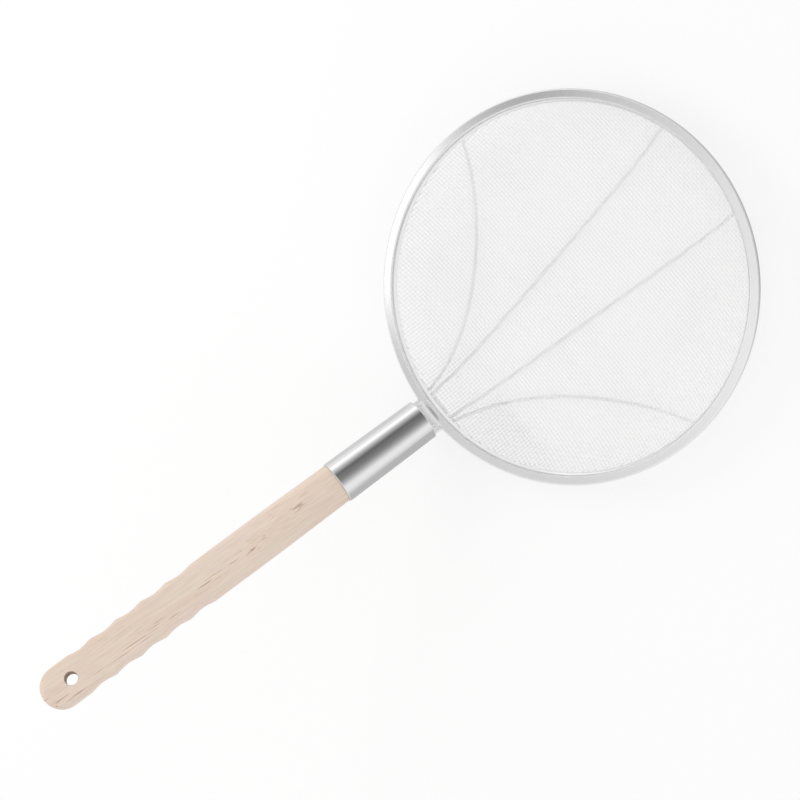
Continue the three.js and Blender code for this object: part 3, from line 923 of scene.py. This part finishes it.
class STRAINER_OT_support_wires(bpy.types.Operator):
    """Bend the four support wires, from the handle out under the cloth to the rim"""

    bl_idname = "strainer.support_wires"
    bl_label = "Support wires"

    def execute(self, context):
        support = settings("support")
        inner, outer = wire_offsets()
        tree = swept_tree()
        sizes = {"Diameter": support.wire, "Sides": support.sides, "Material": steel_finish("drawn_steel")}
        fans = (
            ("inner", inner, support.inner_rim, support.inner_leaving, support.inner_lead),
            ("outer", outer, support.outer_rim, support.outer_leaving, support.outer_lead),
        )
        for which, offset, at_rim, leaving, lead in fans:
            for side_name, side in (("left", 1), ("right", -1)):
                node = f"support_wire_{which}_{side_name}"
                path = self.path(side, offset, at_rim, leaving, lead)
                line = bpy.data.meshes.new(node)
                line.from_pydata(path, [(step, step + 1) for step in range(len(path) - 1)], [])
                piece = link_piece(node + "_drawn", line)
                made_by_nodes(piece, tree, sizes)
                settle(piece, "wire_steel", node)
        return {"FINISHED"}

    def path(self, side, offset, at_rim, leaving, lead):
        """Points from the seat in the handle, under the rim at the neck and along the fan to the far rim."""
        support = settings("support")
        ring = rim_section()["ring"]
        start = Vector((-settings("rim").hoop / 2, offset))
        control = start + lead * Vector((math.cos(leaving), math.sin(leaving)))
        end = (ring - support.setback) * Vector((math.cos(at_rim), math.sin(at_rim)))
        points = seat_points(support.seat, side * offset)
        for step in range(support.steps + 1):
            at = step / support.steps
            plan = start.lerp(control, at).lerp(control.lerp(end, at), at)
            height = self.height(plan.length)
            points.append(HOOP_CENTRE + Vector((plan.x, side * plan.y, height)))
        return smooth_path(points, WIRE_PATH_STEPS)

    def height(self, radius):
        """A wire hugs the cloth, dips under the lip and runs level under the bead."""
        rim = settings("rim")
        section = rim_section()
        ring = section["ring"]
        wire = settings("support").wire
        lip_start = ring - section["reach"] - section["lip_half"] - wire
        dip = smoothstep(radius, lip_start - 2 * wire, lip_start)
        under_cloth = rim.slot / 2 + wire / 2
        under_lip = section["lip_half"] + rim.fit + wire / 2
        below = lerp(under_cloth, under_lip, dip) * math.hypot(1, dish_slope(radius, ring))
        return min(dish_height(radius, ring) - below, -(section["half_height"] + rim.fit + wire / 2))


class STRAINER_OT_neck_plate(bpy.types.Operator):
    """Bend the flat tongue from the handle to under the rim"""

    bl_idname = "strainer.neck_plate"
    bl_label = "Neck plate"

    def execute(self, context):
        neck = settings("neck")
        rim = settings("rim")
        section = rim_section()
        half = neck.thickness / 2
        under_lip = -(section["lip_half"] + rim.fit + half)
        tab = rim_point(section, section["lip_end"], under_lip)
        end = rim_point(section, section["lip_end"] + neck.tab, under_lip)
        level = (rim.hoop / 2, -(section["half_height"] + rim.fit + half))
        points = seat_points(neck.seat, 0)
        points += [HOOP_CENTRE + Vector((-radius, 0, height)) for radius, height in (level, tab, end)]
        path = smooth_path(points, PLATE_PATH_STEPS)
        rings = []
        for before, point, after in zip([path[0], *path], path, [*path[1:], path[-1]]):
            along = (after - before).normalized()
            up = along.cross(Vector((0, 1, 0)))
            rings.append([point + Vector((0, y, 0)) + z * up for y, z in self.outline()])
        name = "neck_plate_bent"
        add_piece(name, skinned(name, rings), steel_finish("satin_steel"), "rim_steel", "neck_plate")
        return {"FINISHED"}

    def outline(self):
        """Section of the plate: a rectangle with rounded edges."""
        neck = settings("neck")
        wide = neck.width / 2 - neck.edge
        high = neck.thickness / 2 - neck.edge
        points = []
        for quarter, (y, z) in enumerate(((1, 1), (-1, 1), (-1, -1), (1, -1))):
            start = quarter * QUARTER_TURN
            corner = arc(neck.edge, start, start + QUARTER_TURN, PLATE_CORNER_STEPS, (y * wide, z * high))
            points += held_ends(corner, neck.edge * PLATE_EDGE_RUN)
        return points


class STRAINER_OT_ferrule(bpy.types.Operator):
    """Turn the tapered steel tube over the front of the handle"""

    bl_idname = "strainer.ferrule"
    bl_label = "Ferrule"

    def execute(self, context):
        ferrule = settings("ferrule")
        edge = ferrule.edge
        length = ferrule.length
        mouth = (tube_radius(0) - edge, edge)
        end = (tube_radius(length) - edge, length - edge)
        profile = [(tube_radius(0) - ferrule.wall, 0.0)]
        for start, centre in ((-QUARTER_TURN, mouth), (0, end)):
            rounding = arc(edge, start, start + QUARTER_TURN, FERRULE_EDGE_STEPS, centre)
            profile += held_ends(rounding, edge * FERRULE_EDGE_RUN)
        profile.append((tube_radius(length) - ferrule.wall, length))
        name = "ferrule_tube"
        mesh = skinned(name, turned(profile, ferrule.segments, grip_place()), joined=True)
        add_piece(name, mesh, steel_finish("polished_steel", grip_place()), "ferrule_steel", "ferrule")
        return {"FINISHED"}


class STRAINER_OT_ferrule_nail(bpy.types.Operator):
    """Drive the nail that holds the ferrule, from below"""

    bl_idname = "strainer.ferrule_nail"
    bl_label = "Ferrule nail"

    def execute(self, context):
        ferrule = settings("ferrule")
        along = ferrule.length - ferrule.nail_from_wood
        seat = tube_radius(along) + settings("rim").fit
        tip = seat - ferrule.nail_length
        shank = ferrule.nail_shank / 2
        head = ferrule.nail_head / 2
        dome = arc(1.0, 0, QUARTER_TURN, NAIL_DOME_STEPS)
        profile = [(0.0, tip), (shank, tip + ferrule.nail_shank), (shank, seat)]
        profile += [(head * x, seat + ferrule.nail_crown * y) for x, y in dome]
        down = grip_place() @ Matrix.Translation((0, 0, along)) @ Matrix.Rotation(-QUARTER_TURN, 4, "Y")
        name = "ferrule_nail_domed"
        mesh = skinned(name, turned(profile, NAIL_SIDES, down), joined=True)
        add_piece(name, mesh, steel_finish("drawn_steel"), "wire_steel", "ferrule_nail")
        return {"FINISHED"}


class STRAINER_OT_handle(bpy.types.Operator):
    """Shape the wooden handle, with its finger grooves, half-round end and hanging hole"""

    bl_idname = "strainer.handle"
    bl_label = "Handle"

    def execute(self, context):
        name = "handle_shaped"
        piece = link_piece(name, skinned(name, self.rings(), caps=(True, False)))
        cutter = link_piece("hanging_hole", self.hole())
        drilled = piece.modifiers.new("Hanging hole", "BOOLEAN")
        drilled.operation = "DIFFERENCE"
        drilled.solver = "EXACT"
        drilled.object = cutter
        keep_result(piece)
        bpy.data.objects.remove(cutter)
        mesh = piece.data
        mesh.materials.clear()
        mesh.materials.append(wood_finish())
        shade(mesh)
        settle(piece, "handle_wood", "handle")
        return {"FINISHED"}

    def rings(self):
        """Sections of the handle: the tenon, the shank, the grooves and the half-round end."""
        handle = settings("handle")
        ferrule = settings("ferrule")
        fit = settings("rim").fit
        place = grip_place()
        end_start = self.end() - handle.width / 2
        grooves_end = self.end() - handle.last_groove
        grooves_start = grooves_end - handle.grooves * handle.groove_pitch
        rings = []
        for along in (handle.recess, ferrule.length - fit):
            radius = tube_radius(along) - ferrule.wall - fit
            rings.append([(x * radius, y * radius, along) for x, y in self.unit_section(2.0)])
        stations = even(self.front(), grooves_start, handle.shank_steps)
        stations += even(grooves_start, grooves_end, handle.grooves * handle.groove_steps)
        stations += even(grooves_end, end_start, handle.groove_steps)
        stations.append(end_start)
        rings += [self.section(along) for along in stations]
        rings += [self.bent_section(turn) for turn in even(0, QUARTER_TURN, handle.end_steps)[1:]]
        rings.append(self.bent_section(QUARTER_TURN))
        return [[place @ Vector(point) for point in ring] for ring in rings]

    def front(self):
        """Place at which the wood leaves the ferrule, from the ferrule's mouth."""
        return settings("ferrule").length + settings("rim").fit

    def end(self):
        """Place of the handle's end, from the ferrule's mouth."""
        return settings("ferrule").length + settings("handle").length

    def flatness(self, along):
        """How far the round section has turned flat."""
        return smoothstep(along, self.front(), self.front() + settings("handle").flattening)

    def front_radius(self):
        """Radius of the wood where it leaves the ferrule."""
        return tube_radius(settings("ferrule").length) - settings("handle").step

    def half_thickness(self, along):
        """Half of the handle's thickness."""
        handle = settings("handle")
        front = self.front()
        thin = lerp(handle.thickness, handle.end_thickness, (along - front) / (self.end() - front)) / 2
        return lerp(self.front_radius(), thin, self.flatness(along))

    def half_width(self, along):
        """Half of the handle's width, with its finger grooves."""
        handle = settings("handle")
        last_valley = self.end() - handle.last_groove - handle.groove_pitch / 2
        turns = (last_valley - along) / handle.groove_pitch
        grooved = -0.5 < turns < handle.grooves - 0.5
        groove = handle.groove_depth * abs(math.cos(math.pi * turns)) ** handle.groove_power if grooved else 0
        return lerp(self.front_radius(), handle.width / 2 - groove, self.flatness(along))

    def unit_section(self, squareness):
        """Outline of a section of half size 1: round at 2, squarer above."""
        power = 2 / squareness
        points = []
        for x, y in circle(1.0, settings("handle").sides):
            points.append((math.copysign(abs(x) ** power, x), math.copysign(abs(y) ** power, y)))
        return points

    def section(self, along):
        """Section square to the handle's axis."""
        squareness = lerp(2.0, settings("handle").squareness, self.flatness(along))
        thick = self.half_thickness(along)
        wide = self.half_width(along)
        return [(x * thick, y * wide, along) for x, y in self.unit_section(squareness)]

    def bent_section(self, turn):
        """Section of the half-round end, both halves swung forward until they meet."""
        handle = settings("handle")
        radius = handle.width / 2
        middle = self.end() - radius
        ring = []
        for x, y in self.unit_section(handle.squareness):
            along = middle + radius * abs(y) * math.sin(turn)
            ring.append((x * self.half_thickness(along), y * radius * math.cos(turn), along))
        return ring

    def hole(self):
        """Cutter of the hanging hole, flared by the chamfer at both faces."""
        handle = settings("handle")
        along = self.end() - handle.hole_place
        face = self.half_thickness(along)
        edge = handle.hole_edge
        radius = handle.hole / 2
        flare = radius + 2 * edge
        profile = ((flare, face + edge), (radius, face - edge), (radius, edge - face), (flare, -face - edge))
        place = grip_place() @ Matrix.Translation((0, 0, along)) @ Matrix.Rotation(QUARTER_TURN, 4, "Y")
        rings = []
        for ring_radius, height in profile:
            rings.append([place @ Vector((x, y, height)) for x, y in circle(ring_radius, HOLE_SIDES)])
        return skinned("hanging_hole", rings)


# Stage: two softboxes, and cards that shape the reflections in the steel. A card has its place, its turn in
# degrees, half its width and height, and the (share, level) stops of its shade across the height. A ring card
# has its place from the middle of the rim, its inner and outer radius, and the stops of its shade round its
# middle. The camera has its place from the middle of the rim.

KEY_PLACE = (-0.5, 1.0, 0.85)
KEY_SIZE = (0.9, 0.7)
FILL_PLACE = (0.1, -1.25, 0.9)
FILL_SIZE = (1.0, 0.8)
FLOOR_HALF = 4.0
RING_SIDES = 96
CAMERA_PLACE = (0.389597, -0.258031, 1.323948)
SENSOR_WIDTH = 36.0
CANOPY_SHADES = (
    (0.0, 0.72), (0.16, 0.78), (0.3, 0.98), (0.39, 0.98), (0.5, 0.87), (0.54, 0.73), (0.6, 0.68),
    (0.65, 0.44), (0.69, 0.42), (0.75, 0.63), (0.762, 1.5), (0.9, 1.5), (0.912, 0.55), (1.0, 0.72),
)
STRIP_SHADES = (
    (0.0, 1.02), (0.14, 0.94), (0.25, 0.75), (0.33, 0.56), (0.4, 0.4), (0.47, 0.28),
    (0.53, 0.22), (0.69, 0.15), (0.75, 0.3), (0.87, 0.58), (1.0, 0.85),
)
RIGHT_SHADES = ((0.0, 0.8), (0.46, 0.74), (0.81, 0.58), (1.0, 0.56))
WALL_SHADES = ((0.0, 0.8), (1.0, 1.0))
LEFT_SHADES = ((0.0, 0.75), (1.0, 0.9))
BACK_SHADES = ((0.0, 1.3), (1.0, 1.3))
MOUTH_SHADES = ((0.0, 0.88), (1.0, 0.88))
EDGE_SHADES = ((0.0, 0.9), (0.16, 0.9), (0.3, 0.8), (0.4, 0.5), (0.66, 0.5), (0.74, 0.9), (1.0, 0.9))
CARDS = (
    ("overhead_strip", (0.773, -0.16, 0.934), (0, 42, 0), (0.19, 1.7), STRIP_SHADES),
    ("back_card", (0.35, 1.1, 0.32), (90, 0, 0), (0.3, 0.18), BACK_SHADES),
    ("right_flag", (-0.03, -0.33, 0.006), (0, 0, 0), (0.08, 0.31), RIGHT_SHADES),
    ("right_wall", (0.12, -0.64, 0.085), (90, 0, 0), (0.25, 0.085), WALL_SHADES),
    ("left_flag", (-0.06, 0.17, 0.006), (0, 0, 0), (0.06, 0.13), LEFT_SHADES),
    ("mouth_card", (0.0014, 0.0, 0.0232), (0, -58, 0), (0.0115, 0.0115), MOUTH_SHADES),
)
RING_CARDS = (
    ("canopy", (-0.147, 0.0975, 0.5), (0.004, 0.29), CANOPY_SHADES),
    ("edge_ring", (0.0, 0.0, -0.019), (0.132, 0.3), EDGE_SHADES),
)


def light_path_seen(tree):
    """1 for rays from the camera and for those that metal or glass sends on."""
    rays = add_node(tree, "ShaderNodeLightPath").outputs
    mirrored = maths(tree, "MAXIMUM", rays["Is Glossy Ray"], rays["Is Transmission Ray"])
    return maths(tree, "MAXIMUM", rays["Is Camera Ray"], mirrored)


class STRAINER_OT_stage(bpy.types.Operator):
    """Set up the floor, the soft lamps, the surrounding light, the cards and the camera"""

    bl_idname = "strainer.stage"
    bl_label = "Stage"

    def execute(self, context):
        context.scene.view_settings.view_transform = "Standard"
        self.surroundings(context.scene)
        self.floor()
        stage = settings("stage")
        self.softbox("key_softbox", KEY_PLACE, KEY_SIZE, stage.key_level)
        self.softbox("fill_softbox", FILL_PLACE, FILL_SIZE, stage.fill_level)
        for name, place, turn, half, shades in CARDS:
            card = self.card(name, self.sheet(*half), [range(4)], shades, self.across(half[1]))
            card.location = place
            card.rotation_euler = [math.radians(angle) for angle in turn]
        for name, place, radii, shades in RING_CARDS:
            edges = [arc(radius, 0, FULL_TURN, RING_SIDES) for radius in radii]
            corners = [(x, y, 0) for edge in edges for x, y in edge]
            outer = RING_SIDES + 1
            faces = [(k, k + 1, outer + k + 1, outer + k) for k in range(RING_SIDES)]
            self.card(name, corners, faces, shades, self.around).location = HOOP_CENTRE + Vector(place)
        self.camera(context.scene)
        return {"FINISHED"}

    def surroundings(self, scene):
        """Even light from all round, white where it is seen."""
        world = bpy.data.worlds.new("Studio")
        world.use_nodes = True
        scene.world = world
        tree = world.node_tree
        background = tree.nodes["Background"]
        background.inputs["Color"].default_value = (1.0, 1.0, 1.0, 1.0)
        level = settings("stage").world_level
        strength = maths(tree, "MULTIPLY_ADD", light_path_seen(tree), 1.0 - level, level)
        feed(tree, background.inputs["Strength"], strength)

    def floor(self):
        """Plain pale floor: partly white glow where it is seen, so that it keeps a faint shadow."""
        stage = settings("stage")
        mesh = bpy.data.meshes.new("floor")
        mesh.from_pydata(self.sheet(FLOOR_HALF, FLOOR_HALF), [], [(0, 1, 2, 3)])
        material, tree, shader = new_material("pale_floor")
        shader.inputs["Base Color"].default_value = opaque(stage.floor)
        shader.inputs["Roughness"].default_value = 1.0
        shader.inputs["Specular IOR Level"].default_value = 0.0
        glow = node_output(tree, "ShaderNodeEmission", {"Color": (1.0, 1.0, 1.0, 1.0), "Strength": 1.0})
        amount = maths(tree, "MULTIPLY", light_path_seen(tree), stage.floor_glow)
        both = node_output(tree, "ShaderNodeMixShader", {0: amount, 1: shader.outputs["BSDF"], 2: glow})
        feed(tree, tree.nodes["Material Output"].inputs["Surface"], both)
        mesh.materials.append(material)
        link_piece("floor", mesh)

    def softbox(self, name, place, size, level):
        """Large area lamp aimed at the object, of a given brightness."""
        lamp = bpy.data.lights.new(name, "AREA")
        lamp.shape = "RECTANGLE"
        lamp.size, lamp.size_y = size
        lamp.energy = math.pi * size[0] * size[1] * level
        softbox = bpy.data.objects.new(name, lamp)
        softbox.location = place
        softbox.rotation_mode = "QUATERNION"
        softbox.rotation_quaternion = (-Vector(place)).to_track_quat("-Z", "Y")
        softbox.visible_camera = False
        softbox.visible_glossy = False
        bpy.context.scene.collection.objects.link(softbox)

    def sheet(self, wide, high):
        """Corners of a level rectangle of the given half sizes."""
        return [(-wide, -high, 0), (wide, -high, 0), (wide, high, 0), (-wide, high, 0)]

    def across(self, high):
        """Share of the way across a card's height."""
        def share(tree, parts):
            span = {"Value": parts["Y"], "From Min": -high, "From Max": high}
            return node_output(tree, "ShaderNodeMapRange", span, "Result")
        return share

    def around(self, tree, parts):
        """Share of a turn round a card's middle."""
        turn = maths(tree, "ARCTAN2", parts["Y"], parts["X"])
        return maths(tree, "MULTIPLY_ADD", turn, 1 / FULL_TURN, 0.5)

    def card(self, name, corners, faces, shades, share):
        """Card that only shows in reflections, shaded by (share, level) stops."""
        mesh = bpy.data.meshes.new(name)
        mesh.from_pydata(corners, [], faces)
        material, tree, shader = new_material(name)
        tree.nodes.remove(shader)
        where = node_output(tree, "ShaderNodeTexCoord", which="Object")
        parts = add_node(tree, "ShaderNodeSeparateXYZ", {0: where}).outputs
        ramp = add_node(tree, "ShaderNodeValToRGB", {"Fac": share(tree, parts)})
        stops = ramp.color_ramp.elements
        while len(stops) < len(shades):
            stops.new(0.5)
        for stop, (at, level) in zip(stops, shades):
            stop.position = at
            stop.color = (level, level, level, 1.0)
        glow = node_output(tree, "ShaderNodeEmission", {"Color": ramp.outputs["Color"]})
        feed(tree, tree.nodes["Material Output"].inputs["Surface"], glow)
        mesh.materials.append(material)
        card = link_piece(name, mesh)
        card.visible_camera = False
        card.visible_diffuse = False
        card.visible_shadow = False
        card.visible_transmission = False
        return card

    def camera(self, scene):
        """Camera at the photograph's angle."""
        stage = settings("stage")
        flat = math.cos(stage.elevation)
        towards = (math.sin(stage.azimuth) * flat, -math.cos(stage.azimuth) * flat, math.sin(stage.elevation))
        data = bpy.data.cameras.new("photo_camera")
        data.sensor_width = SENSOR_WIDTH
        data.lens = stage.lens
        camera = bpy.data.objects.new("photo_camera", data)
        camera.location = HOOP_CENTRE + Vector(CAMERA_PLACE)
        camera.rotation_mode = "QUATERNION"
        sight = (-Vector(towards)).to_track_quat("-Z", "Y")
        camera.rotation_quaternion = sight @ Quaternion((0, 0, 1), stage.roll)
        scene.collection.objects.link(camera)
        scene.camera = camera


# Add-on.


OPERATORS = (
    STRAINER_OT_stage,
    STRAINER_OT_rim,
    STRAINER_OT_cloth,
    STRAINER_OT_support_wires,
    STRAINER_OT_neck_plate,
    STRAINER_OT_ferrule,
    STRAINER_OT_ferrule_nail,
    STRAINER_OT_handle,
)


class STRAINER_PT_panel(bpy.types.Panel):
    """Sidebar panel with the strainer's pieces and sizes"""

    bl_label = "Mesh Strainer"
    bl_idname = "STRAINER_PT_panel"
    bl_space_type = "VIEW_3D"
    bl_region_type = "UI"
    bl_category = "Strainer"

    def draw(self, context):
        for operator in OPERATORS:
            self.layout.operator(operator.bl_idname)
        for name, group in GROUPS.items():
            box = self.layout.box()
            box.label(text=name.removeprefix("strainer_").title())
            for size in group.__annotations__:
                box.prop(getattr(context.scene, name), size)


CLASSES = (*GROUPS.values(), *OPERATORS, STRAINER_PT_panel)


def register():
    for cls in CLASSES:
        bpy.utils.register_class(cls)
    for name, group in GROUPS.items():
        setattr(bpy.types.Scene, name, PointerProperty(type=group))


def unregister():
    for name in GROUPS:
        delattr(bpy.types.Scene, name)
    for cls in reversed(CLASSES):
        bpy.utils.unregister_class(cls)


def main():
    """Builds the stage and every piece."""
    register()
    bpy.ops.strainer.stage()
    bpy.ops.strainer.rim()
    bpy.ops.strainer.cloth()
    bpy.ops.strainer.support_wires()
    bpy.ops.strainer.neck_plate()
    bpy.ops.strainer.ferrule()
    bpy.ops.strainer.ferrule_nail()
    bpy.ops.strainer.handle()


if __name__ == "__main__":
    main()
